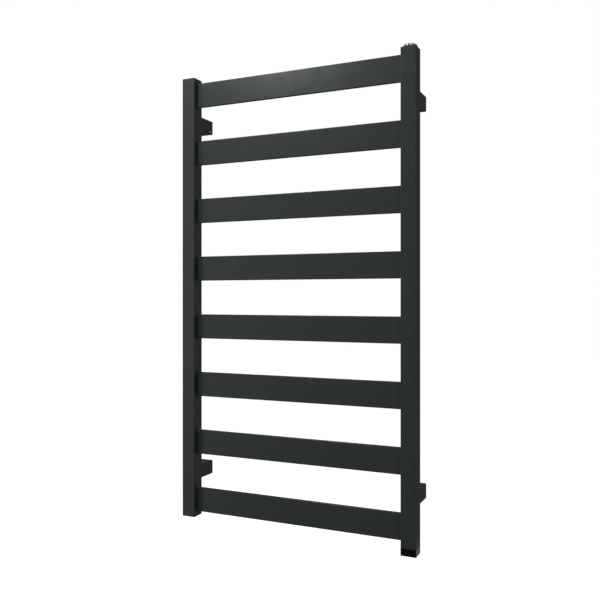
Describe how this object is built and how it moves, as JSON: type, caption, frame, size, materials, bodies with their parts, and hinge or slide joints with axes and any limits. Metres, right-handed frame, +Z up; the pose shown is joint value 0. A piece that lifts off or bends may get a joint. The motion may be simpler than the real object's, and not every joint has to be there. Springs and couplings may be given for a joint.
{
  "type": "towel warmer rack",
  "caption": "Wall-hung electric ladder towel warmer: square posts, flat horizontal rails, a vent plug on top and a heating element with its control head below.",
  "frame": {"origin": "centre of the wall plane at the middle of the posts' width and height", "axes": "+X right seen from the front, +Y into the wall, +Z up"},
  "size_m": [0.611, 0.0905, 1.1375],
  "materials": {
    "satin_anthracite": "satin powder coat with a fine grain",
    "zinc_steel": "zinc plated",
    "stainless_steel": "drawn tube, dull",
    "bright_chrome": "polished",
    "plain_brass": "machined",
    "black_rubber": "matte",
    "gloss_black": "high gloss",
    "white_plastic": "moulded",
    "circuit_board": "solder-masked laminate",
    "component_black": "moulded",
    "smoked_red": "clear tinted"
  },
  "bodies": {
    "wall_fixings": {"bracket_upper_left_wall_block": "zinc_steel", "bracket_upper_right_wall_block": "zinc_steel", "bracket_lower_left_wall_block": "zinc_steel", "bracket_lower_right_wall_block": "zinc_steel"},
    "rack": {"rail_1": "satin_anthracite", "rail_2": "satin_anthracite", "rail_3": "satin_anthracite", "rail_4": "satin_anthracite", "rail_5": "satin_anthracite", "rail_6": "satin_anthracite", "rail_7": "satin_anthracite", "rail_8": "satin_anthracite", "left_post": "satin_anthracite", "right_post": "satin_anthracite", "left_top_cap": "satin_anthracite", "left_bottom_cap": "satin_anthracite", "right_top_cap": "satin_anthracite", "right_bottom_cap": "satin_anthracite", "bracket_upper_left_sleeve": "satin_anthracite", "bracket_upper_left_clamp_screw": "zinc_steel", "bracket_upper_left_stud": "zinc_steel", "bracket_upper_left_nut": "zinc_steel", "bracket_upper_right_sleeve": "satin_anthracite", "bracket_upper_right_clamp_screw": "zinc_steel", "bracket_upper_right_stud": "zinc_steel", "bracket_upper_right_nut": "zinc_steel", "bracket_lower_left_sleeve": "satin_anthracite", "bracket_lower_left_clamp_screw": "zinc_steel", "bracket_lower_left_stud": "zinc_steel", "bracket_lower_left_nut": "zinc_steel", "bracket_lower_right_sleeve": "satin_anthracite", "bracket_lower_right_clamp_screw": "zinc_steel", "bracket_lower_right_stud": "zinc_steel", "bracket_lower_right_nut": "zinc_steel", "vent_seal": "black_rubber", "vent_body": "bright_chrome", "heater_bush": "plain_brass", "heater_gasket": "black_rubber", "heater_rod": "stainless_steel", "heater_sensor_tube": "stainless_steel", "heater_terminal_1": "plain_brass", "heater_terminal_2": "plain_brass", "heater_terminal_3": "plain_brass", "head_shell": "gloss_black", "head_cover": "gloss_black", "head_cover_screw_1": "zinc_steel", "head_cover_screw_2": "zinc_steel", "head_circuit_board": "circuit_board", "head_relay": "component_black", "head_switch": "component_black", "head_led": "smoked_red", "head_light_lens": "smoked_red", "cable_gland": "black_rubber"},
    "vent_nozzle": {"vent_nozzle": "white_plastic"},
    "vent_screw": {"vent_screw": "plain_brass"},
    "head_button": {"head_button": "gloss_black"}
  },
  "joints": [
    {"name": "wall_distance_slide", "type": "slide", "parent": "wall_fixings", "child": "rack", "axis": [0, -1, 0], "range_m": [0, 0.01]},
    {"name": "vent_nozzle_turn", "type": "hinge", "parent": "rack", "child": "vent_nozzle", "pos_m": [0.2875, -0.0725, 0.5626], "axis": [0, 0, 1], "continuous": true},
    {"name": "vent_screw_turn", "type": "hinge", "parent": "rack", "child": "vent_screw", "pos_m": [0.2875, -0.0725, 0.556], "axis": [0, 0, 1], "range_deg": [0, 360]},
    {"name": "head_button_press", "type": "slide", "parent": "rack", "child": "head_button", "axis": [0, 0, 1], "range_m": [0, 0.0008], "stiffness_N_per_m": 600, "springref_m": -0.002}
  ]
}
